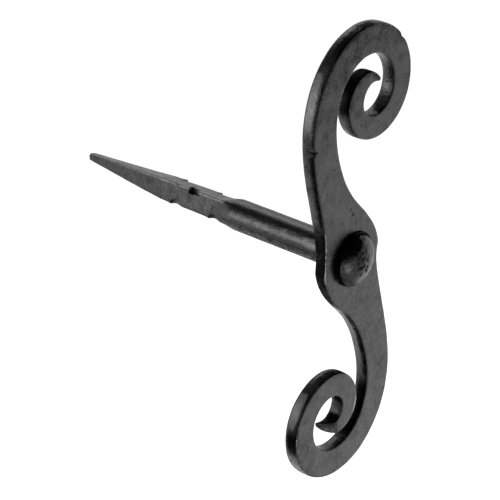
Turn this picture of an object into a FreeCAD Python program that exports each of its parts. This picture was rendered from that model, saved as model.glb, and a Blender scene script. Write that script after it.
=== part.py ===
"""Shutter dog holdback: an S-scroll dog that turns on the riveted end of a drive-in spike.

Millimetres. The spike's axis is Y: the rivet head faces -Y, the point is at +Y.
+Z is up and the S stands upright at rest. The origin is on the axis, on the shoulder.
"""
import FreeCAD
import Part
import math
import os

Vector = FreeCAD.Vector

# scroll dog
dog_thickness = 6.0
arm_length = 192.5      # along the middle of one arm, from the pivot to the scroll's end
start_lean = -7.8       # degrees the arm leans at the pivot, clockwise from straight up
# how hard the arm turns at even steps along its length, in radians per arm length
arm_bends = [-7.3, 1.55, 2.03, 5.32, 7.9, 9.67, 10.92, 12.96, 19.27, 27.07]
pivot_width = 31.3
root_width = 15.4       # of the plain band, carried back to the pivot
scroll_width = 8.3      # of the plain band, carried on to the scroll's end
low_arm_extra = 0.7     # the lower arm is this much wider past the pivot, and half that at its end
low_arm_onset = 15.0    # how soon past the pivot the lower arm gets wider
bulge_reach = 20.0      # how far the pivot's swell runs up the arm
bulge_power = 1.6
bulge_lift = 0.8        # the swell's middle lies this far above the middle of the S
taper_length = 18.7     # the last stretch, drawn out to the tip
taper_power = 2.2
tip_width = 1.5
arris = 0.7             # the broken edge round the front and back of the bar
middle_drop = 0.6       # the S's middle lies this far below the pivot hole
outline_knots = 18      # knots on each side of an arm, closer together towards the tip
fine_steps = 720        # steps for walking along an arm's middle

# spike
shank_diameter = 12.7
neck_diameter = 9.0     # the round the dog turns on
spike_length = 134.0    # from the shoulder to the blunt point
flats_start = 50.0      # where the forged flats begin to run out of the round shank
flats_full = 60.0       # where they reach their full depth
square_side = 9.0       # across the flats
corner_reach = 6.2      # from the axis to the hammered corners, a little under the round
taper_start = 89.0
point_side = 2.9        # across the blunt point
point_rise = 0.9        # the point is drawn out a little above the axis
section_lean = 15.4     # degrees the square is turned about the spike's axis
# chisel cuts that raise the barbs: corner, place of the floor, run up to the lip, ramp, depth
barb_cuts = [
    (0, 61.2, 0.6, 8.0, 1.0),
    (2, 62.0, 3.6, 4.4, 1.2),
    (0, 81.0, 0.6, 11.0, 0.9),
    (2, 83.5, 4.0, 5.2, 1.2),
    (1, 74.6, 1.6, 4.0, 1.0),
    (3, 72.0, 3.0, 4.6, 1.1),
]

# rivet head and washer
head_radius = 10.4
head_height = 5.5
head_rim = 0.8          # the straight rim under the dome
head_shift = -0.7       # the head was peened a little off the axis, in X and in Z
head_lift = 0.1
washer_radius = 11.0
washer_thickness = 1.0
washer_edge = 0.4

# fits
running_clearance = 0.08    # radial, between the neck and the dog's hole
end_play = 0.1              # on each face of the dog, so that it turns freely
washer_clearance = 0.15     # radial, between the neck and the washer

dog_back = -end_play
dog_front = dog_back - dog_thickness
washer_back = dog_front - end_play
washer_front = washer_back - washer_thickness


def blend(values, share):
    """Straight-line value between evenly spaced values, share running from 0 to 1."""
    place = share * (len(values) - 1)
    first = min(int(place), len(values) - 2)
    rest = place - first
    return values[first] * (1 - rest) + values[first + 1] * rest


def arm_width(run, low):
    share = run / arm_length
    plain = root_width + (scroll_width - root_width) * share
    if low:
        onset = 1 - math.exp(-((run / low_arm_onset) ** 2))
        plain = plain + low_arm_extra * onset * (1 - share / 2)
    past = abs(run + bulge_lift if low else run - bulge_lift)
    swell = (pivot_width - root_width) * math.exp(-((past / bulge_reach) ** bulge_power))
    done = max(0.0, (run - (arm_length - taper_length)) / taper_length)
    drawn = done ** taper_power
    return (plain + swell) * (1 - drawn) + tip_width * drawn


def arm_sides(low):
    """Fine points on the outer and inner side of an arm, from the pivot to the tip.

    Both arms are drawn going up. The low arm is turned over afterwards.
    """
    outer = []
    inner = []
    step = arm_length / fine_steps
    heading = math.radians(start_lean)
    middle = Vector(0, 0, 0)
    for i in range(fine_steps + 1):
        across = Vector(math.cos(heading), 0, -math.sin(heading)) * (arm_width(i * step, low) / 2)
        outer.append(middle - across)
        inner.append(middle + across)
        half_turn = blend(arm_bends, min(1.0, (i + 0.5) / fine_steps)) / fine_steps / 2
        middle = middle + Vector(math.sin(heading + half_turn), 0, math.cos(heading + half_turn)) * step
        heading = heading + 2 * half_turn
    return outer, inner


def turned(points):
    """A side after half a turn round the middle of the S."""
    return [point * -1 for point in points]


def arc_leaving(start, direction, end):
    """The arc from start to end that leaves start along direction."""
    chord = end - start
    sideways = direction - chord * (direction.dot(chord) / chord.dot(chord))
    if sideways.Length < 1e-6:
        return Part.makeLine(start, end)
    slope = sideways.Length / (1 + direction.dot(chord) / chord.Length)
    bow = sideways * (slope * chord.Length / 2 / sideways.Length)
    return Part.Arc(start, (start + end) * 0.5 + bow, end).toShape()


def arc_pair(start, leaving, end, arriving):
    """Two arcs that meet smoothly between two knots, true to the direction at each."""
    chord = end - start
    both = chord.dot(leaving + arriving)
    spread = 2 * (1 - leaving.dot(arriving))
    if spread < 1e-9:
        reach = chord.dot(chord) / (2 * both)
    else:
        reach = (math.sqrt(both ** 2 + spread * chord.dot(chord)) - both) / spread
    meeting = (start + end + (leaving - arriving) * reach) * 0.5
    back = arc_leaving(end, arriving * -1, meeting)
    return [arc_leaving(start, leaving, meeting), back]


def smooth_side(points, knots):
    """A chain of arcs through the points at the knots, along the way the points run there."""
    edges = []
    ways = {}
    for k in knots:
        before = points[max(0, k - 1)]
        after = points[min(len(points) - 1, k + 1)]
        ways[k] = (after - before).normalize()
    for first, last in zip(knots, knots[1:]):
        edges += arc_pair(points[first], ways[first], points[last], ways[last])
    return edges


def make_dog():
    outer, inner = arm_sides(False)
    low_outer, low_inner = arm_sides(True)
    upper = [round(fine_steps * (1 - (1 - i / outline_knots) ** 1.5)) for i in range(outline_knots + 1)]
    knots = [fine_steps - k for k in upper[:0:-1]] + [fine_steps + k for k in upper]
    left = turned(low_inner)[:0:-1] + outer
    right = turned(low_outer)[:0:-1] + inner
    top_tip = Part.makeLine(outer[-1], inner[-1])
    low_tip = Part.makeLine(left[0], right[0])
    wire = Part.Wire(smooth_side(left, knots) + [top_tip] + smooth_side(right, knots)[::-1] + [low_tip])
    bar = Part.Face(wire).extrude(Vector(0, dog_thickness, 0))
    bar.translate(Vector(0, dog_front, -middle_drop))
    rims = [e for e in bar.Edges if abs(e.BoundBox.YMax - e.BoundBox.YMin) < 0.01]
    bar = bar.makeChamfer(arris, rims)
    hole_radius = neck_diameter / 2 + running_clearance
    hole_foot = Vector(0, dog_front - 1, 0)
    hole = Part.makeCylinder(hole_radius, dog_thickness + 2, hole_foot, Vector(0, 1, 0))
    return bar.cut(hole)


def square_wire(side, y, rise=0.0):
    """A square across the spike at y, turned by section_lean and lifted by rise."""
    corners = []
    for quarter in range(4):
        angle = math.radians(45 + 90 * quarter - section_lean)
        reach = side / math.sqrt(2)
        corners.append(Vector(reach * math.cos(angle), y, reach * math.sin(angle) + rise))
    return Part.makePolygon(corners + corners[:1])


def barb_cut(corner, floor, lip_run, ramp, depth):
    """A V across one corner: its short side ends at the barb's lip, its ramp runs to the shank."""
    crest = min(corner_reach, square_side / math.sqrt(2))
    reach = crest + 1
    spread = (reach - crest + depth) / depth
    profile = [
        Vector(crest - depth, floor, -reach),
        Vector(reach, floor + lip_run * spread, -reach),
        Vector(reach, floor - ramp * spread, -reach),
    ]
    wedge = Part.Face(Part.makePolygon(profile + profile[:1])).extrude(Vector(0, 0, 2 * reach))
    angle = 45 + 90 * corner - section_lean
    wedge.rotate(Vector(0, 0, 0), Vector(0, 1, 0), -angle)
    return wedge


def make_spike():
    neck_length = -washer_front
    shank_radius = shank_diameter / 2
    shank = Part.makeCylinder(shank_radius, flats_start, Vector(0, 0, 0), Vector(0, 1, 0))
    run_out = Part.makeCone(
        shank_radius, corner_reach, flats_full - flats_start, Vector(0, flats_start, 0), Vector(0, 1, 0)
    )
    corners = Part.makeCylinder(
        corner_reach, spike_length - flats_full, Vector(0, flats_full, 0), Vector(0, 1, 0)
    )
    blank = shank.fuse([run_out, corners])
    flare = shank_diameter * 1.1
    sections = [
        square_wire(flare, -1.0),
        square_wire(flare, flats_start),
        square_wire(square_side, flats_full),
        square_wire(square_side, taper_start),
        square_wire(point_side, spike_length, point_rise),
    ]
    forged = Part.makeLoft(sections, True, True)
    body = blank.common(forged)
    for corner, floor, lip_run, ramp, depth in barb_cuts:
        body = body.cut(barb_cut(corner, floor, lip_run, ramp, depth))
    neck_foot = Vector(0, washer_front - 1, 0)
    neck = Part.makeCylinder(neck_diameter / 2, neck_length + 1, neck_foot, Vector(0, 1, 0))
    rim_top = washer_front - head_rim
    rise = head_height - head_rim
    crown = rim_top - rise
    dome_radius = (head_radius ** 2 + rise ** 2) / (2 * rise)
    halfway = math.asin(head_radius / dome_radius) / 2
    dome = Part.Arc(
        Vector(head_radius, rim_top, 0),
        Vector(dome_radius * math.sin(halfway), crown + dome_radius * (1 - math.cos(halfway)), 0),
        Vector(0, crown, 0),
    ).toShape()
    outline = Part.Wire([
        Part.makeLine(Vector(0, washer_front, 0), Vector(head_radius, washer_front, 0)),
        Part.makeLine(Vector(head_radius, washer_front, 0), Vector(head_radius, rim_top, 0)),
        dome,
        Part.makeLine(Vector(0, crown, 0), Vector(0, washer_front, 0)),
    ])
    head = Part.Face(outline).revolve(Vector(0, 0, 0), Vector(0, 1, 0), 360)
    head.translate(Vector(head_shift, 0, head_lift))
    return body.fuse([neck, head]).removeSplitter()


def make_washer():
    disc = Part.makeCylinder(washer_radius, washer_thickness, Vector(0, washer_front, 0), Vector(0, 1, 0))
    front_rim = [e for e in disc.Edges if abs(e.BoundBox.YMax - washer_front) < 0.01]
    disc = disc.makeFillet(washer_edge, front_rim)
    bore_radius = neck_diameter / 2 + washer_clearance
    bore_foot = Vector(0, washer_front - 1, 0)
    bore = Part.makeCylinder(bore_radius, washer_thickness + 2, bore_foot, Vector(0, 1, 0))
    return disc.cut(bore)


def save(name, shape):
    solid = shape.Solids[0]
    print(name, "solids", len(shape.Solids), "valid", solid.isValid(), "mm3", round(solid.Volume))
    solid.exportStep("parts/" + name + ".step")


os.makedirs("parts", exist_ok=True)
save("scroll_dog", make_dog())
save("spike", make_spike())
save("head_washer", make_washer())
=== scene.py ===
import math
import random

import bmesh
import bpy
from mathutils import Matrix, Vector, noise


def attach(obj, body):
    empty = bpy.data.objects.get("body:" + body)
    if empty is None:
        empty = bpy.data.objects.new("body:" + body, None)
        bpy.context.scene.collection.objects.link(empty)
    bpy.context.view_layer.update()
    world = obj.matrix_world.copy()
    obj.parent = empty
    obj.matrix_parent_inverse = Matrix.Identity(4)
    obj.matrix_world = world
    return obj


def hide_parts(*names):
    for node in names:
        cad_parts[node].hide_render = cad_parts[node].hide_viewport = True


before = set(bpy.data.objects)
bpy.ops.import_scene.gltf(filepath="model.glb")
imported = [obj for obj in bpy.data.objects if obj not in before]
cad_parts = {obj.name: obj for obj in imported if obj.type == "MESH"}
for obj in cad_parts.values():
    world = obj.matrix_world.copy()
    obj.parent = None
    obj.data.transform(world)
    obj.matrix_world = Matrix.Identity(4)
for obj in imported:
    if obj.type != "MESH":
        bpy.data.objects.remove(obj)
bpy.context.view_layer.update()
mm = 0.001
scene = bpy.context.scene
scene.view_settings.view_transform = "Standard"
print("frame loaded:", ", ".join(sorted(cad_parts)))


# camera
view = {
    "aim": (-24.26, 23.76, 2.80),
    "azimuth": -48.44,
    "elevation": 26.73,
    "distance": 674.4,
    "lens": 130.77,
}


def makeCamera():
    camera = bpy.data.objects.new("camera", bpy.data.cameras.new("camera"))
    scene.collection.objects.link(camera)
    camera.data.lens = view["lens"]
    turn, rise = math.radians(view["azimuth"]), math.radians(view["elevation"])
    away = Vector((math.sin(turn) * math.cos(rise), -math.cos(turn) * math.cos(rise), math.sin(rise)))
    camera.location = (Vector(view["aim"]) + away * view["distance"]) * mm
    camera.rotation_euler = (-away).to_track_quat("-Z", "Y").to_euler()
    camera.data.clip_start, camera.data.clip_end = 0.01, 50
    scene.camera = camera


makeCamera()
print("camera set")


# shader helpers
class Wire:
    def __init__(self, finish, socket):
        self.finish, self.socket = finish, socket

    def __add__(self, other):
        return self.finish.maths("ADD", self, other)

    def __radd__(self, other):
        return self.finish.maths("ADD", other, self)

    def __sub__(self, other):
        return self.finish.maths("SUBTRACT", self, other)

    def __rsub__(self, other):
        return self.finish.maths("SUBTRACT", other, self)

    def __mul__(self, other):
        return self.finish.maths("MULTIPLY", self, other)

    def __rmul__(self, other):
        return self.finish.maths("MULTIPLY", other, self)


class Finish:
    def __init__(self, tree):
        self.tree = tree
        self.tree.nodes.clear()

    def add(self, kind, output=0, settings=None, sockets=None):
        node = self.tree.nodes.new(kind)
        for name, setting in (settings or {}).items():
            setattr(node, name, setting)
        for name, given in (sockets or {}).items():
            if isinstance(given, Wire):
                self.tree.links.new(given.socket, node.inputs[name])
            else:
                node.inputs[name].default_value = given
        return Wire(self, node.outputs[output]) if len(node.outputs) else node

    def maths(self, operation, first, second):
        return self.add("ShaderNodeMath", settings={"operation": operation}, sockets={0: first, 1: second})

    def limit(self, value, low, high, start=0.0, end=1.0):
        return self.add("ShaderNodeMapRange", settings={"interpolation_type": "SMOOTHSTEP"}, sockets={
            "Value": value, "From Min": low, "From Max": high, "To Min": start, "To Max": end})

    def grain(self, where, size, detail=2.0, rough=0.5):
        return self.add("ShaderNodeTexNoise", sockets={
            "Vector": where, "Scale": 1 / (size * mm), "Detail": detail, "Roughness": rough})

    def layer(self, name):
        return self.add("ShaderNodeAttribute", output="Fac", settings={"attribute_name": name})

    def mixed(self, share, first, second):
        return self.add("ShaderNodeMix", output=2, settings={"data_type": "RGBA"}, sockets={
            0: share, 6: first, 7: second})


def shade(value, warm=0.0):
    return (value * (1 + warm), value, value * (1 - warm), 1)


# black iron, the same finish on all three pieces
iron = {
    "deep": shade(0.004),
    "plain": shade(0.011),
    "dusty": shade(0.022, 0.02),
    "worn": shade(0.080, 0.02),
    # light grey for painted highlights
    "paintedHighlight": shade(0.260, 0.01),
    "bare": shade(0.340, 0.02),
    # near-black for painted shade and for the matt black of the front face
    "sootAndShade": shade(0.003),
    "ior": 1.64,
}


def blackIron(name, mottleSize, grainDepth, wornShare, roughness, shift, spots=()):
    material = bpy.data.materials.new(name)
    material.use_nodes = True
    f = Finish(material.node_tree)
    place = f.add("ShaderNodeTexCoord", output="Object")
    where = f.add("ShaderNodeMapping", sockets={"Vector": place, "Location": shift})
    broad = f.grain(where, 22, 2.0, 0.5)
    mottle = f.grain(where, mottleSize, 4.0, 0.55)
    fine = f.grain(where, 1.1, 3.0, 0.6)
    grit = f.grain(where, 0.55, 1.0, 0.5)
    speck = (mottle - 0.5) * 1.5 + (fine - 0.5) * 0.6
    scuff = f.limit(f.layer("wear") * 1.15 + speck, 0.62, 1.05)
    # bare iron where rubbed, and a painted glint on the head
    rubbed = f.limit(f.layer("rubAndGlint") * 1.25 + speck, 0.55, 1.0)
    # painted highlight, mixed in as light grey where the layer asks
    paintedSheen = f.limit(f.layer("paintedSheen") + speck * 0.45, 0.35, 0.75)
    scale = f.layer("scale")  # how coarse the forge scale is
    pitCells = f.add("ShaderNodeTexVoronoi", output="Distance", sockets={
        "Vector": where, "Scale": 1 / (2.6 * mm)})
    pits = f.limit(pitCells, 0.20, 0.06) * f.limit(broad + scale * 0.1, 0.5, 0.62)
    for x, y, z, size in spots:
        away = f.add("ShaderNodeVectorMath", output="Value", settings={"operation": "DISTANCE"},
                     sockets={0: place, 1: (x * mm, y * mm, z * mm)})
        pits = f.maths("MAXIMUM", pits, f.limit(away + (fine - 0.5) * (0.8 * mm), size * mm, size * 0.5 * mm))
    patch = f.limit(broad * 0.5 + mottle * 0.5, 0.36, 0.64)
    base = f.mixed(patch, iron["deep"], iron["plain"])
    base = f.mixed(f.limit(mottle * 0.4 + fine * 0.3 + grit * 0.3, 0.46, 0.64) * 0.9, base, iron["dusty"])
    base = f.mixed(scuff * wornShare, base, iron["worn"])
    base = f.mixed(paintedSheen, base, iron["paintedHighlight"])
    base = f.mixed(rubbed, base, iron["bare"])
    base = f.mixed(pits, base, iron["deep"])
    rough = roughness + (mottle - 0.5) * 0.25 + (fine - 0.5) * 0.35
    rough = rough + pits * 0.25 - scuff * 0.06 + scale * 0.06
    height = mottle * (1.4 + scale * 1.2) + fine * (grainDepth + scale * 0.5) + grit * 0.35 - pits * 1.4
    bump = f.add("ShaderNodeBump", sockets={"Strength": 1.0, "Distance": 0.0001, "Height": height})
    metal = f.maths("MAXIMUM", scuff * (0.5 * wornShare), rubbed)
    skin = f.add("ShaderNodeBsdfPrincipled", sockets={
        "Base Color": base, "Roughness": rough, "Metallic": metal, "Normal": bump, "IOR": iron["ior"]})
    # painted shade: a matt near-black mixed in where the layer asks, standing in for shade on walls, rims,
    # the head, dents and notches
    sootAndShade = f.add("ShaderNodeBsdfDiffuse", sockets={"Color": iron["sootAndShade"]})
    paintedShadeMix = f.limit(f.layer("sootAndShade") + speck * 0.45 + (grit - 0.5) * 0.5, 0.25, 0.95) * 0.95
    both = f.add("ShaderNodeMixShader", sockets={0: paintedShadeMix, 1: skin, 2: sootAndShade})
    f.add("ShaderNodeOutputMaterial", sockets={"Surface": both})
    return material


def ownShape(bm, name, body, node, material):
    bmesh.ops.remove_doubles(bm, verts=bm.verts, dist=2e-6)
    bmesh.ops.recalc_face_normals(bm, faces=bm.faces)
    for face in bm.faces:
        face.smooth = True
    mesh = bpy.data.meshes.new(name)
    bm.to_mesh(mesh)
    bm.free()
    piece = bpy.data.objects.new(name, mesh)
    scene.collection.objects.link(piece)
    mesh.materials.append(material)
    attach(piece, body)
    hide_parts(node)
    print(name, "made,", len(mesh.polygons), "faces")
    return piece


# scroll dog, sizes in millimetres
dog = {
    "back": -0.1,
    "thickness": 6.0,
    "armLength": 192.5,
    "startLean": -7.8,
    # turn at even steps along the arm, in radians per arm length; found by a least-squares fit
    "armBends": [-7.3, 1.55, 2.03, 5.32, 7.9, 9.67, 10.92, 12.96, 19.27, 27.07],
    "pivotWidth": 31.3,
    "rootWidth": 15.4,
    "scrollWidth": 8.3,
    "lowArmExtra": 0.7,
    "lowArmOnset": 15.0,
    "bulgeReach": 20.0,
    "bulgePower": 1.6,
    "bulgeLift": 0.8,
    "taperLength": 18.7,
    "taperPower": 2.2,
    "tipWidth": 0.9,
    "tipRound": 1.1,
    "middleDrop": 0.6,
    "holeRadius": 4.58,
    "cornerRound": 0.6,
    "wallBow": 0.3,
    "stations": 400,
    "columns": 36,
    "skinDepth": 0.12,
    "cornerDepth": 0.2,
    "tipSlope": 6.5,  # the lower tip's front is drawn back over this length
    # side, from and to along the bar, how much of the front arris is rubbed bare
    "rubbed": [(-1, -1.5, 24.0, 0.92), (1, -136, -116, 0.62), (-1, 50, 57, 0.6)],
    # painted highlights on the outer walls: from and to along the bar, how soft the ends, how bright
    "paintedSheenPatches": [(69.0, 79.0, 2.2, 0.9), (61.0, 74.0, 5.0, 0.95), (-145.5, -135.5, 4.0, 1.3)],
    # painted shade on the walls: side, from and to along the bar, how soft the ends, how dark, how far back
    # from the front arris
    "paintedShadeMix": [(-1, -14, 26, 7, 0.92, 6.5), (-1, 22, 56, 5, 0.86, 2.6), (-1, 24, 62, 6, 0.46, 7.5),
              (-1, 56, 78, 3, 0.75, 1.4), (-1, 83.5, 104, 4.5, 0.82, 3.7), (-1, 170, 190, 4, 0.97, 5.2),
              (-1, 158, 170, 4, 0.72, 3.0), (1, 118, 140, 7, 0.62, 3.0), (1, 146, 154, 3, 0.85, 4.4),
              (-1, -94, -60, 7, 0.95, 4.8), (-1, -104, -90, 6, 0.85, 3.2), (-1, -60, -14, 6, 0.86, 2.8),
              (-1, -173, -162, 3, 1.0, 4.8), (-1, -192, -181, 2.5, 1.0, 5.0), (1, -166, -149, 4, 0.88, 4.0),
              (1, -149, -133, 4, 0.75, 1.4), (1, -134, -126, 3, 0.95, 5.0)],
    # how much matt black lies over the whole front face
    "faceMattBlack": 0.30,
    "paintedShadeTop": (30.0, 80.0, 0.50),  # painted shade, the upper scroll's front made darker: from, to in height, how much
    "shoulder": (-14.0, 17.0, 1.6, 0.3),  # left of the pivot: from, to, extra in front, extra behind
    # along the bar, reach, depth and how far over the wall
    "nicks": [(54.2, 1.0, 0.8, 2.6), (117.8, 1.1, 0.7, 1.4)],
    # on the front face: start, end, half width, how bare
    "scratches": [((4.4, -61.8), (2.4, -69.0), 0.8, 1.0), ((13.5, 85.4), (16.8, 85.9), 0.8, 0.55),
                  ((-21.2, 35.8), (-21.0, 36.6), 0.5, 0.62), ((-25.0, 51.6), (-23.6, 52.6), 0.4, 0.75),
                  ((-31.2, -70.0), (-29.8, -75.2), 0.5, 0.62), ((-28.8, -77.0), (-26.2, -80.2), 0.45, 0.60),
                  ((18.2, 84.0), (21.6, 81.6), 0.6, 0.50)],
    "pits": [(-2.4, -6.1, 21.0, 0.8), (-1.2, -6.1, 18.7, 1.0),
             (-12.6, -6.1, 40.2, 0.6), (0.6, -6.1, 14.6, 0.5)],
    "walkSteps": 1600,
    "arrisReach": 1.6,  # how far from an edge the wear is seen
}
blankWidth = 10.0  # of the straight bar before it is drawn and scrolled


def dogWidth(run, low):
    share = run / dog["armLength"]
    plain = dog["rootWidth"] + (dog["scrollWidth"] - dog["rootWidth"]) * share
    if low:
        plain += dog["lowArmExtra"] * (1 - math.exp(-((run / dog["lowArmOnset"]) ** 2))) * (1 - share / 2)
    past = abs(run + dog["bulgeLift"] if low else run - dog["bulgeLift"])
    fading = math.exp(-((past / dog["bulgeReach"]) ** dog["bulgePower"]))
    swell = (dog["pivotWidth"] - dog["rootWidth"]) * fading
    done = max(0.0, (run - dog["armLength"] + dog["taperLength"]) / dog["taperLength"])
    return (plain + swell) * (1 - done ** dog["taperPower"]) + dog["tipWidth"] * done ** dog["taperPower"]


def walkArm(steps):
    line = []
    bends = dog["armBends"]
    step = dog["armLength"] / steps
    heading = math.radians(dog["startLean"])
    middle = Vector((0, 0, 0))
    for i in range(steps + 1):
        line.append((middle.copy(), heading))
        place = min(1.0, (i + 0.5) / steps) * (len(bends) - 1)
        first = min(int(place), len(bends) - 2)
        bend = bends[first] + (bends[first + 1] - bends[first]) * (place - first)
        turn = bend / steps / 2
        middle += Vector((math.sin(heading + turn), 0, math.cos(heading + turn))) * step
        heading += 2 * turn
    return line


def easeOut(left, reach):
    return 1.0 if left > reach else math.sqrt(max(0.0, 1 - (1 - left / reach) ** 2))


def easeIn(value, low, high):
    t = min(1.0, max(0.0, (value - low) / (high - low)))
    return t * t * (3 - 2 * t)


def between(value, low, high, soft):
    return easeIn(value, low - soft, low + soft) * (1 - easeIn(value, high - soft, high + soft))


def cutHole(bm, half):
    loops = []
    for side in (-1, 1):
        near = [v for v in bm.verts if math.hypot(v.co.x, v.co.z) < dog["holeRadius"]
                and abs(v.co.y - dog["back"] + half - side * half) < 0.6]
        inside = {f for v in near for f in v.link_faces}
        rim = {e for f in inside for e in f.edges if not all(g in inside for g in e.link_faces)}
        bmesh.ops.delete(bm, geom=list(inside), context="FACES")
        loops += rim
    for v in {v for e in loops for v in e.verts}:
        grow = dog["holeRadius"] / math.hypot(v.co.x, v.co.z)
        v.co.x, v.co.z = v.co.x * grow, v.co.z * grow
    bmesh.ops.bridge_loops(bm, edges=loops)


def makeDog(material):
    bm = bmesh.new()
    half = dog["thickness"] / 2
    size = Matrix.Diagonal((blankWidth, dog["thickness"], 2, 1))
    bmesh.ops.create_cube(bm, size=1, matrix=size)
    ends = [f for f in bm.faces if abs(f.normal.z) > 0.9]
    bmesh.ops.delete(bm, geom=ends, context="FACES_ONLY")
    long = [e for e in bm.edges if abs(e.verts[0].co.z - e.verts[1].co.z) > 1]
    bmesh.ops.bevel(bm, geom=long, offset=dog["cornerRound"], offset_type="OFFSET", segments=4,
                    profile=0.5, affect="EDGES", material=-1)
    wide = [e for e in bm.edges if abs(e.verts[0].co.x - e.verts[1].co.x) > 5]
    bmesh.ops.subdivide_edges(bm, edges=wide, cuts=dog["columns"], use_grid_fill=True)
    deep = [e for e in bm.edges if abs(e.verts[0].co.y - e.verts[1].co.y) > 3]
    bmesh.ops.subdivide_edges(bm, edges=deep, cuts=5, use_grid_fill=True)
    long = [e for e in bm.edges if abs(e.verts[0].co.z - e.verts[1].co.z) > 1]
    bmesh.ops.subdivide_edges(bm, edges=long, cuts=2 * dog["stations"] - 1, use_grid_fill=True)
    layers = ("wear", "rubAndGlint", "paintedSheen", "scale", "sootAndShade")
    wear, rubAndGlint, paintedSheen, scale, sootAndShade = [bm.verts.layers.float.new(n) for n in layers]
    steps = dog["walkSteps"]
    line = walkArm(steps)
    for v in bm.verts:
        reached = abs(v.co.z)
        run = reached * dog["armLength"]
        margin = blankWidth / 2 - dog["cornerRound"]
        halfWidth = dogWidth(run, v.co.z < 0) / 2
        corner = min(dog["cornerRound"], halfWidth * 0.9)
        if abs(v.co.x) <= margin + 1e-6:
            across = v.co.x / margin * (halfWidth - corner)
        else:
            past = (abs(v.co.x) - margin) * corner / dog["cornerRound"]
            across = math.copysign(halfWidth - corner + past, v.co.x)
        bow = dog["wallBow"] * (v.co.y / half) ** (2 if v.co.y < 0 else 4) * min(1.0, halfWidth / 3)
        across -= math.copysign(bow, across) * min(1.0, abs(across) / max(halfWidth - corner, 0.1))
        inSide = (halfWidth - abs(across)) / dog["arrisReach"]
        inFace = (half - abs(v.co.y)) / dog["arrisReach"]
        v[wear] = max(0.0, 1 - math.hypot(max(inSide, 0), max(inFace, 0)))
        along = math.copysign(run, v.co.z)
        outer = v.co.x * v.co.z < 0  # the wall outside the scrolls
        onWall = easeIn(0.9 - (halfWidth - abs(across)), 0.0, 0.6)
        toArris = math.hypot(halfWidth - 0.3 - abs(across), half - 0.2 + v.co.y)
        v[scale] = onWall
        for side, low, high, share in dog["rubbed"]:
            if v.co.x * side > 0:
                chatter = 1 + 0.35 * noise.noise(Vector((along / 1.3, side, 4)))
                nearArris = math.exp(-((toArris / 0.8) ** 2))
                v[rubAndGlint] = max(v[rubAndGlint], share * chatter * nearArris * between(along, low, high, 2.0))
        cut = 0.0
        if outer:
            # painted highlight: lighter patches on the outer walls
            for low, high, soft, share in dog["paintedSheenPatches"]:
                inside = onWall * easeIn(v.co.y, -half + 0.8, -half + 2.6)
                inside *= 1 - easeIn(v.co.y, half - 1.3, half - 0.2)
                uneven = 1 + 0.5 * noise.noise(Vector((along / 3.5, v.co.y / 2, 6)))
                v[paintedSheen] = max(v[paintedSheen], share * uneven * inside * between(along, low, high, soft))
            for middle, reach, depth, width in dog["nicks"]:
                nick = math.exp(-(((along - middle) / reach) ** 2) - (toArris / width) ** 2)
                cut += depth * nick
                # painted shade inside each nick
                v[sootAndShade] = max(v[sootAndShade], 1.2 * nick - 0.2)
                rim = math.exp(-((abs(along - middle) - 1.9 * reach) / 0.5) ** 2 - (toArris / width) ** 2)
                v[rubAndGlint] = max(v[rubAndGlint], 0.72 * rim)
        across -= math.copysign(cut, across)
        # painted shade: walls darkened in bands behind the front arris
        for side, low, high, soft, share, reach in dog["paintedShadeMix"]:
            if v.co.x * side > 0:
                behind = half + v.co.y
                inside = onWall * between(along, low, high, soft) * easeIn(behind, 0.05, 0.5)
                v[sootAndShade] = max(v[sootAndShade], share * inside * (1 - easeIn(behind, reach - 1.2, reach + 1.2)))
        low, high, front, back = dog["shoulder"]
        if v.co.x < 0:
            extra = front + (back - front) * (v.co.y / half + 1) / 2
            across -= extra * between(along, low, high, 6.0) * min(1.0, abs(across) / halfWidth) ** 2
        place = min(reached * steps, steps - 1e-6)
        first = int(place)
        (a, headA), (b, headB) = line[first], line[first + 1]
        middle = a.lerp(b, place - first)
        heading = headA + (headB - headA) * (place - first)
        sideways = Vector((math.cos(heading), 0, -math.sin(heading)))
        drawn = easeOut(dog["armLength"] - run, dog["tipRound"])
        across *= drawn
        v.co.y *= 0.35 + 0.65 * drawn
        if v.co.z < 0:  # the lower tip's front slopes back to a point
            left = dog["armLength"] - run
            v.co.y = half - (half - v.co.y) * (0.08 + 0.92 * min(1.0, left / dog["tipSlope"]))
        if v.co.z < 0:
            middle = -middle
        v.co = middle + sideways * across + Vector((0, v.co.y + dog["back"] - half, -dog["middleDrop"]))
        low, high, share = dog["paintedShadeTop"]
        if v.co.y < dog["back"] - half:
            for (x1, z1), (x2, z2), width, bare in dog["scratches"]:
                start, stroke = Vector((x1, 0, z1)), Vector((x2 - x1, 0, z2 - z1))
                flatPlace = Vector((v.co.x, 0, v.co.z))
                t = min(1.0, max(0.0, (flatPlace - start).dot(stroke) / stroke.length_squared))
                off = (flatPlace - start - stroke * t).length
                if off < 3 * width:
                    v[rubAndGlint] = max(v[rubAndGlint], bare * math.exp(-((off / width) ** 2)))
            upperFace = easeIn(v.co.z, low, high) * easeIn(v.co.z - v.co.x, 30, 65)
            mattAndShade = dog["faceMattBlack"] + (share - dog["faceMattBlack"]) * upperFace
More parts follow.
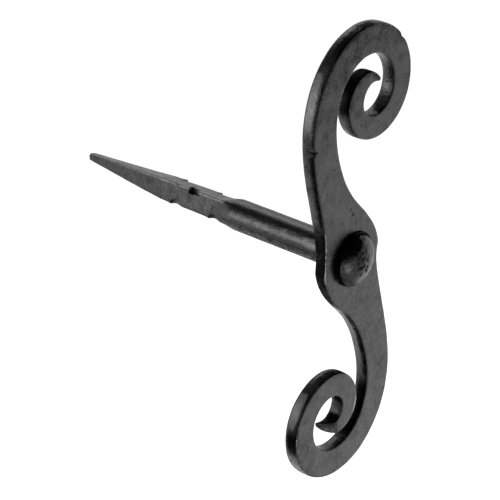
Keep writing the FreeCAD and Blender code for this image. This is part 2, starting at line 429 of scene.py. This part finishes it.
            # painted shade along the outer edge of the upper scroll's front
            mattAndShade += 0.25 * math.exp(-(inSide ** 2)) * easeIn(v.co.z, low, high) if outer else 0.0
            v[sootAndShade] = max(v[sootAndShade], mattAndShade * (1 - onWall))
    bmesh.ops.remove_doubles(bm, verts=bm.verts, dist=0.003)
    bmesh.ops.holes_fill(bm, edges=[e for e in bm.edges if e.is_boundary])
    bmesh.ops.recalc_face_normals(bm, faces=bm.faces)
    bm.normal_update()
    for v in bm.verts:
        p = v.co.copy()
        n = v.normal.copy()
        broad = 0.5 + 0.5 * noise.noise(p / 11)
        small = 0.5 + 0.5 * noise.noise(p / 4 + Vector((7, 3, 1)))
        dent = 0.5 + 0.5 * noise.noise(p / 6 + Vector((1, 9, 4)))
        skin = dog["skinDepth"] * (0.75 * broad + 0.25 * small)
        v.co -= n * (skin + dog["cornerDepth"] * v[wear] * dent ** 2)
    cutHole(bm, half)
    bmesh.ops.scale(bm, vec=(mm, mm, mm), verts=bm.verts)
    return ownShape(bm, "scrollDog", "dog", "scroll_dog", material)


# spike with its riveted head, sizes in millimetres
spike = {
    "shankRadius": 6.35,
    "neckRadius": 4.5,
    "headBack": -7.2,
    "length": 134.0,
    "flatsStart": 50.0,
    "flatsFull": 60.0,
    "squareSide": 9.0,
    "cornerReach": 6.2,
    "taperStart": 89.0,
    "pointSide": 2.9,
    "pointRise": 0.9,
    "sectionLean": 15.4,
    # corner, floor, run to the lip, ramp, depth and painted shade in the notch
    "barbCuts": [(0, 63.5, 0.6, 8.6, 1.1, 0.0), (2, 60.6, 1.4, 4.4, 1.4, 0.25),
                 (0, 82.8, 0.6, 11.0, 1.0, 0.0), (2, 81.4, 1.2, 5.2, 1.4, 0.15),
                 (1, 73.4, 0.9, 4.6, 1.6, 1.1), (3, 72.0, 3.0, 4.6, 1.1, 0.4)],
    "burr": 0.45,
    "squarePower": 16.0,  # how sharp the square's corners are
    # bands round the spike for painted highlights and painted shade: from and to in degrees, how soft the
    # ends
    "litSideBand": (132, 174, 5),
    "glintBand": (60, 112, 6),
    "topBand": (20, 128, 5),
    "underBand": (178, 330, 8),
    "edgeBand": (114, 126, 4),
    "flankBand": (126, 330, 5),
    "rimBand": (28, 235, 12),
    "headRadius": 10.4,
    "headHeight": 5.5,
    "headRim": 0.8,
    "headShift": (-0.7, 0.1),
    "glintSpot": (-3.0, 5.6),  # a painted glint, a small bright bare spot on the head
    "sides": 96,
    "facets": 30,
    "facetDepth": 0.10,
}


def spikeStations():
    rim, dome = spike["headRim"], spike["headHeight"] - spike["headRim"]
    ball = (spike["headRadius"] ** 2 + dome ** 2) / (2 * dome)
    widest = math.asin(spike["headRadius"] / ball)
    crown = spike["headBack"] - spike["headHeight"]
    turns = [widest * i / 30 for i in range(31)]
    rows = [(crown + ball * (1 - math.cos(turn)), ball * math.sin(turn)) for turn in turns]
    back, wide = spike["headBack"], spike["headRadius"]
    rows += [(back - rim * 0.4, wide), (back - 0.1, wide - 0.15), (back, wide - 0.5)]
    rows.append((back, spike["neckRadius"]))
    rows += [(0.0, spike["neckRadius"]), (0.0, spike["shankRadius"] - 0.4), (0.1, spike["shankRadius"] - 0.1)]
    y = 0.4
    while y < spike["length"] - 0.9:
        rows.append((y, spike["shankRadius"]))
        y += 1.0 if y < 47 else 0.45
    end = spike["length"]
    rows += [(end - 0.7, 1.45), (end - 0.4, 1.25), (end - 0.15, 0.95), (end, 0.55), (end, 0.0)]
    return rows


def forgedRadius(angle, y):
    side = spike["squareSide"]
    if y > spike["taperStart"]:
        share = (y - spike["taperStart"]) / (spike["length"] - spike["taperStart"])
        side += (spike["pointSide"] - side) * share
    turned = angle + math.radians(spike["sectionLean"])
    power = spike["squarePower"]
    square = side / 2 / (abs(math.cos(turned)) ** power + abs(math.sin(turned)) ** power) ** (1 / power)
    square = min(square, spike["cornerReach"])
    flat = easeIn(y, spike["flatsStart"], spike["flatsFull"])
    radius = spike["shankRadius"] * (1 - flat) + square * flat
    near = notchShade = 0.0
    for corner, floor, lipRun, ramp, depth, notchShadeShare in spike["barbCuts"]:
        facing = math.cos(turned - math.radians(45 + 90 * corner))
        crest = min(spike["cornerReach"], side / math.sqrt(2))
        if facing < 0.5:
            continue
        if floor - ramp < y < floor + lipRun:
            along = (floor - y) / ramp if y < floor else (y - floor) / lipRun
            radius = min(radius, (crest - depth * (1 - along)) / facing)
            # painted shade in the notch
            notchShade = max(notchShade, notchShadeShare * (1 - along) ** 0.5 * easeIn(facing, 0.93, 0.99))
        past = y - floor - lipRun
        if 0 <= past < 8:
            radius += spike["burr"] * math.exp(-past / 2.2) * max(0.0, facing - 0.75) * 4
            near = max(near, math.exp(-past / 1.5))
    corners = abs(math.sin(2 * turned)) ** 6 * flat
    return radius, max(corners * 0.8, near * max(0, corners)), notchShade


def makeSpike(material):
    bm = bmesh.new()
    rows = spikeStations()
    upright = Matrix.Rotation(math.radians(-90), 4, "X")
    bmesh.ops.create_cone(bm, cap_ends=False, segments=spike["sides"], radius1=1, radius2=1, depth=1,
                          matrix=upright @ Matrix.Translation((0, 0, 0.5)))
    long = [e for e in bm.edges if abs(e.verts[0].co.y - e.verts[1].co.y) > 0.5]
    bmesh.ops.subdivide_edges(bm, edges=long, cuts=len(rows) - 2, use_grid_fill=True)
    layers = ("wear", "sootAndShade", "rubAndGlint", "paintedSheen", "scale")
    wear, sootAndShade, rubAndGlint, paintedSheen, scale = [bm.verts.layers.float.new(n) for n in layers]
    rng = random.Random(11)
    dome = spike["headHeight"] - spike["headRim"]
    ball = (spike["headRadius"] ** 2 + dome ** 2) / (2 * dome)
    ballCentre = Vector((0, spike["headBack"] - spike["headHeight"] + ball, 0))
    blows = []
    for i in range(spike["facets"]):
        tilt = math.radians(46) * math.sqrt((i + 0.5) / spike["facets"])
        turn = i * 2.4 + rng.uniform(-0.3, 0.3)
        way = Vector((math.sin(tilt) * math.cos(turn), -math.cos(tilt), math.sin(tilt) * math.sin(turn)))
        blows.append((way, ball - spike["facetDepth"] * rng.uniform(0.4, 1.0)))
    for v in bm.verts:
        y, radius = rows[round(v.co.y * (len(rows) - 1))]
        angle = math.atan2(v.co.z, v.co.x)
        if y > 0.3 and y < spike["length"] - 0.9:
            radius, v[wear], notchShade = forgedRadius(angle, y)
            turn = math.degrees(angle) % 360
            forged = easeIn(y, spike["flatsStart"], spike["flatsFull"])
            streak = noise.noise(Vector((math.cos(angle) * 5, y / 7, math.sin(angle) * 5)))
            # painted highlights: lighter bands along the side and top of the shank and on top of the square
            # part
            drawn = 0.5 * between(turn, *spike["litSideBand"]) * (0.95 + 0.9 * streak - 0.4 * easeIn(y, 12, 45))
            drawn += 0.42 * between(turn, *spike["glintBand"])
            top = 0.85 * between(turn, *spike["topBand"]) * (1 + 0.3 * streak)
            v[paintedSheen] = drawn * (1 - forged) + top * forged
            v[scale] = 0.4 + 0.6 * forged
            # painted shade: a darker underside and a dark line along the round shank
            v[sootAndShade] = 0.62 * between(turn, *spike["underBand"]) + 0.5 * between(turn, *spike["edgeBand"])
            v[sootAndShade] *= 1 - forged
            # painted shade on the flanks of the square part and in the barb notches
            v[sootAndShade] += (0.42 * between(turn, *spike["flankBand"]) + notchShade) * forged
        rise = spike["pointRise"] * easeIn(y, spike["taperStart"], spike["length"] + 20) * 1.3
        v.co = Vector((radius * math.cos(angle), y, radius * math.sin(angle) + rise))
        if y < spike["headBack"] - 0.2:
            for way, reach in blows:
                over = (v.co - ballCentre).dot(way) - reach
                if over > 0:
                    v.co -= way * over * 0.9
            beaten = 0.25 + 0.75 * easeIn(v.co.x, -5, -1)
            pat = noise.noise(v.co / 1.2 + Vector((3, 8, 2))) * 0.12 * beaten + noise.noise(v.co / 3.6) * 0.12
            v.co += (v.co - ballCentre).normalized() * (pat - 0.08)
            # painted shade on the head: a darker middle mottled by spots as a painted dark reflection, a
            # painted shadow at the upper left and painted shade underneath
            spots = noise.noise(v.co / 1.5 + Vector((5, 1, 7))) + 0.25 * noise.noise(v.co / 0.8)
            spots = easeIn(spots, 0.0, 0.35)
            middle = between(v.co.x, -4.5, 2.6, 1.2) * between(v.co.z, -4.5, 5.5, 1.5)
            shadow = 0.85 * easeIn(v.co.z * 0.8 - v.co.x * 0.3, 3.6, 6.2) * (1 - easeIn(v.co.x, 0.0, 3.0))
            under = 0.55 * easeIn(-v.co.z * 0.8 - v.co.x * 0.6, 6.2, 8.4)
            v[sootAndShade] = max((0.50 + 0.30 * spots) * middle, shadow, under)
            # painted glint: a small bright spot on the head
            fromGlint = math.hypot(v.co.x - spike["glintSpot"][0], v.co.z - spike["glintSpot"][1])
            v[rubAndGlint] = math.exp(-((fromGlint / 0.55) ** 2))
            # painted shade on the upper part of the head's rim
            upper = between(math.degrees(angle) % 360, *spike["rimBand"])
            v[sootAndShade] = max(v[sootAndShade], 1.1 * easeIn(radius, 9.7, 10.2) * upper)
            v[scale] = 0.5
        if y < spike["headBack"] + 0.01 and radius > spike["neckRadius"] or y < spike["headBack"] - 0.1:
            v.co += Vector((spike["headShift"][0], 0, spike["headShift"][1]))
        if y > 0.3:
            low = 0.5 + 0.5 * noise.noise(v.co / 7 + Vector((2, 5, 8)))
            out = Vector((v.co.x, 0, v.co.z - rise))
            rough = 0.06 + 0.14 * easeIn(y, 48, 60)
            if out.length > 0.3:
                v.co -= out.normalized() * rough * low
    bmesh.ops.scale(bm, vec=(mm, mm, mm), verts=bm.verts)
    return ownShape(bm, "forgedSpike", "spike", "spike", material)


# washer under the head, sizes in millimetres
washer = {"outer": 11.0, "inner": 4.65, "back": -6.2, "front": -7.2, "round": 0.4, "sides": 128}


def makeWasher(material):
    bm = bmesh.new()
    back, front, soft = washer["back"], washer["front"], washer["round"]
    profile = [(washer["inner"], back), (washer["outer"] - 1.5, back), (washer["outer"] - soft, back)]
    for i in range(1, 9):
        turn = math.pi * i / 9
        radius = washer["outer"] - soft + soft * math.sin(turn)
        profile.append((radius, (back + front) / 2 + 0.5 * math.cos(turn)))
    profile += [(washer["outer"] - soft, front), (washer["outer"] - 1.5, front), (washer["inner"], front)]
    points = [bm.verts.new((radius, y, 0)) for radius, y in profile]
    rim = [bm.edges.new(pair) for pair in zip(points, points[1:] + points[:1])]
    bmesh.ops.spin(bm, geom=points + rim, cent=(0, 0, 0), axis=(0, 1, 0), dvec=(0, 0, 0),
                   angle=2 * math.pi, steps=washer["sides"], use_merge=True)
    wear, sootAndShade = [bm.verts.layers.float.new(n) for n in ("wear", "sootAndShade")]
    for v in bm.verts:
        radius = math.hypot(v.co.x, v.co.z)
        v[wear] = 0.3 * easeIn(radius, washer["outer"] - 0.8, washer["outer"] - 0.1)
        # painted shade on the upper part of the washer's rim
        upper = between(math.degrees(math.atan2(v.co.z, v.co.x)) % 360, *spike["rimBand"])
        v[sootAndShade] = 0.85 * easeIn(-v.co.y, 6.2, 6.6) * upper
        v.co.y += max(0.0, radius - 9.6) * 0.3 * easeIn(-v.co.y, 6.3, 6.9)  # dished by the riveting
        if radius > washer["outer"] - 1:
            worn = 0.5 + 0.5 * noise.noise(v.co / 3)
            v.co.x -= v.co.x / radius * worn * 0.2
            v.co.z -= v.co.z / radius * worn * 0.2
    bmesh.ops.scale(bm, vec=(mm, mm, mm), verts=bm.verts)
    return ownShape(bm, "headWasher", "spike", "head_washer", material)


makeDog(blackIron("dogIron", 4.5, 0.95, 0.8, 0.36, (0.0, 0.0, 0.0), dog["pits"]))
makeSpike(blackIron("spikeIron", 3.2, 0.75, 0.8, 0.36, (0.3, 0.1, 0.2)))
makeWasher(blackIron("washerIron", 3.0, 0.5, 0.9, 0.36, (0.7, 0.4, 0.1)))


# floor, sweep, flags and lamps, sizes in metres
stage = {
    "floor": -0.5,
    "radius": 3.0,
    "bend": 0.8,
    "wall": 0.9,
    "glow": 1.0,
    "paintedPool": 0.45,
    "paintedPoolReach": 1.6,
    "paint": 0.5,
    "sky": 0.02,
}


def paleStage(name, paint, glow, paintedPool, reach):
    material = bpy.data.materials.new(name)
    material.use_nodes = True
    f = Finish(material.node_tree)
    ray = f.add("ShaderNodeLightPath", output="Is Camera Ray")
    rays = ray.socket.node.outputs
    mirrored = f.maths("MAXIMUM", Wire(f, rays["Is Glossy Ray"]), Wire(f, rays["Is Transmission Ray"]))
    seen = f.maths("MAXIMUM", ray, mirrored)
    matt = f.add("ShaderNodeBsdfDiffuse", sockets={"Color": (paint, paint, paint, 1)})
    place = f.add("ShaderNodeTexCoord", output="Object")
    away = f.add("ShaderNodeVectorMath", output="Value", settings={"operation": "LENGTH"}, sockets={0: place})
    # painted pool of light: the floor glows brighter near the middle
    near = f.limit(away, 0.4, reach, paintedPool, 0.0)
    light = f.add("ShaderNodeEmission", sockets={"Color": (1, 1, 1, 1), "Strength": seen * (glow + near)})
    both = f.add("ShaderNodeAddShader", sockets={0: matt, 1: light})
    f.add("ShaderNodeOutputMaterial", sockets={"Surface": both})
    return material


def plainCard(name, colour, glow=0.0):
    material = bpy.data.materials.new(name)
    material.use_nodes = True
    f = Finish(material.node_tree)
    skin = f.add("ShaderNodeBsdfPrincipled", sockets={
        "Base Color": colour, "Roughness": 0.9, "Specular IOR Level": 0.0,
        "Emission Color": (1, 1, 1, 1), "Emission Strength": glow})
    f.add("ShaderNodeOutputMaterial", sockets={"Surface": skin})
    return material


def makeSweep():
    bm = bmesh.new()
    profile = [(0.0, stage["floor"]), (stage["radius"] - stage["bend"], stage["floor"])]
    for i in range(1, 13):
        turn = math.pi / 2 * i / 12
        profile.append((stage["radius"] - stage["bend"] * (1 - math.sin(turn)),
                        stage["floor"] + stage["bend"] * (1 - math.cos(turn))))
    profile.append((stage["radius"], stage["wall"]))
    points = [bm.verts.new((radius, 0, z)) for radius, z in profile]
    edges = [bm.edges.new(pair) for pair in zip(points, points[1:])]
    bmesh.ops.spin(bm, geom=points + edges, cent=(0, 0, 0), axis=(0, 0, 1), dvec=(0, 0, 0),
                   angle=2 * math.pi, steps=96, use_merge=True)
    bmesh.ops.remove_doubles(bm, verts=bm.verts, dist=1e-5)
    bmesh.ops.recalc_face_normals(bm, faces=bm.faces)
    for face in bm.faces:
        face.smooth = True
    mesh = bpy.data.meshes.new("sweep")
    bm.to_mesh(mesh)
    bm.free()
    sweep = bpy.data.objects.new("sweep", mesh)
    scene.collection.objects.link(sweep)
    paint = paleStage("palePaint", stage["paint"], stage["glow"], stage["paintedPool"], stage["paintedPoolReach"])
    mesh.materials.append(paint)


def makeCard(name, material, corner, acrossEdge, upEdge):
    bm = bmesh.new()
    bmesh.ops.create_grid(bm, x_segments=1, y_segments=1, size=0.5)
    for v in bm.verts:
        v.co = Vector(corner) + Vector(acrossEdge) * (v.co.x + 0.5) + Vector(upEdge) * (v.co.y + 0.5)
    mesh = bpy.data.meshes.new(name)
    bm.to_mesh(mesh)
    bm.free()
    card = bpy.data.objects.new(name, mesh)
    scene.collection.objects.link(card)
    mesh.materials.append(material)
    card.visible_camera = False


def makeLamp(name, place, target, width, height, power):
    lamp = bpy.data.objects.new(name, bpy.data.lights.new(name, "AREA"))
    scene.collection.objects.link(lamp)
    lamp.data.shape, lamp.data.size, lamp.data.size_y = "RECTANGLE", width, height
    lamp.data.energy = power
    lamp.location = place
    lamp.rotation_euler = (Vector(target) - Vector(place)).to_track_quat("-Z", "Y").to_euler()
    lamp.visible_camera = False


makeSweep()
blackCloth = plainCard("blackCloth", (0.01, 0.01, 0.01, 1))
darkFelt = plainCard("darkFelt", (0.3, 0.3, 0.3, 1), 0.35)
softGlow = plainCard("softGlow", (0.8, 0.8, 0.8, 1), 10.0)
makeCard("sideFlag", blackCloth, (-0.28, -0.43, -0.5), (0, 0.68, 0), (0, 0, 0.5))
makeCard("upperFlag", blackCloth, (-0.28, -0.43, 0.0), (0, 0.40, 0), (0, 0, 0.35))
makeCard("frontFlag", blackCloth, (-0.10, -0.60, -0.5), (0.42, 0, 0), (0, 0, 0.5))
makeCard("frontTop", blackCloth, (-0.60, -0.60, -0.02), (1.15, 0, 0), (0, 0, 0.7))
makeCard("lowFelt", darkFelt, (-0.30, -0.58, -0.49), (0.62, 0, 0), (0, 0.55, 0))
makeCard("frontGlow", softGlow, (-0.17, -0.62, -0.46), (0.07, 0, 0), (0, 0, 0.40))
makeLamp("backSoft", (-0.41, 0.275, 0.125), (0, 0, 0.125), 0.13, 0.25, 0.85)
makeLamp("topSoft", (0.75, 0.95, 1.1), (0, 0, 0), 0.7, 0.7, 5)

world = bpy.data.worlds.new("studio")
world.use_nodes = True
room = Finish(world.node_tree)
seen = room.add("ShaderNodeLightPath", output="Is Camera Ray")
glow = room.add("ShaderNodeBackground", sockets={
    "Color": (1, 1, 1, 1), "Strength": seen * (1 - stage["sky"]) + stage["sky"]})
room.add("ShaderNodeOutputWorld", sockets={"Surface": glow})
scene.world = world
print("stage and lamps set")
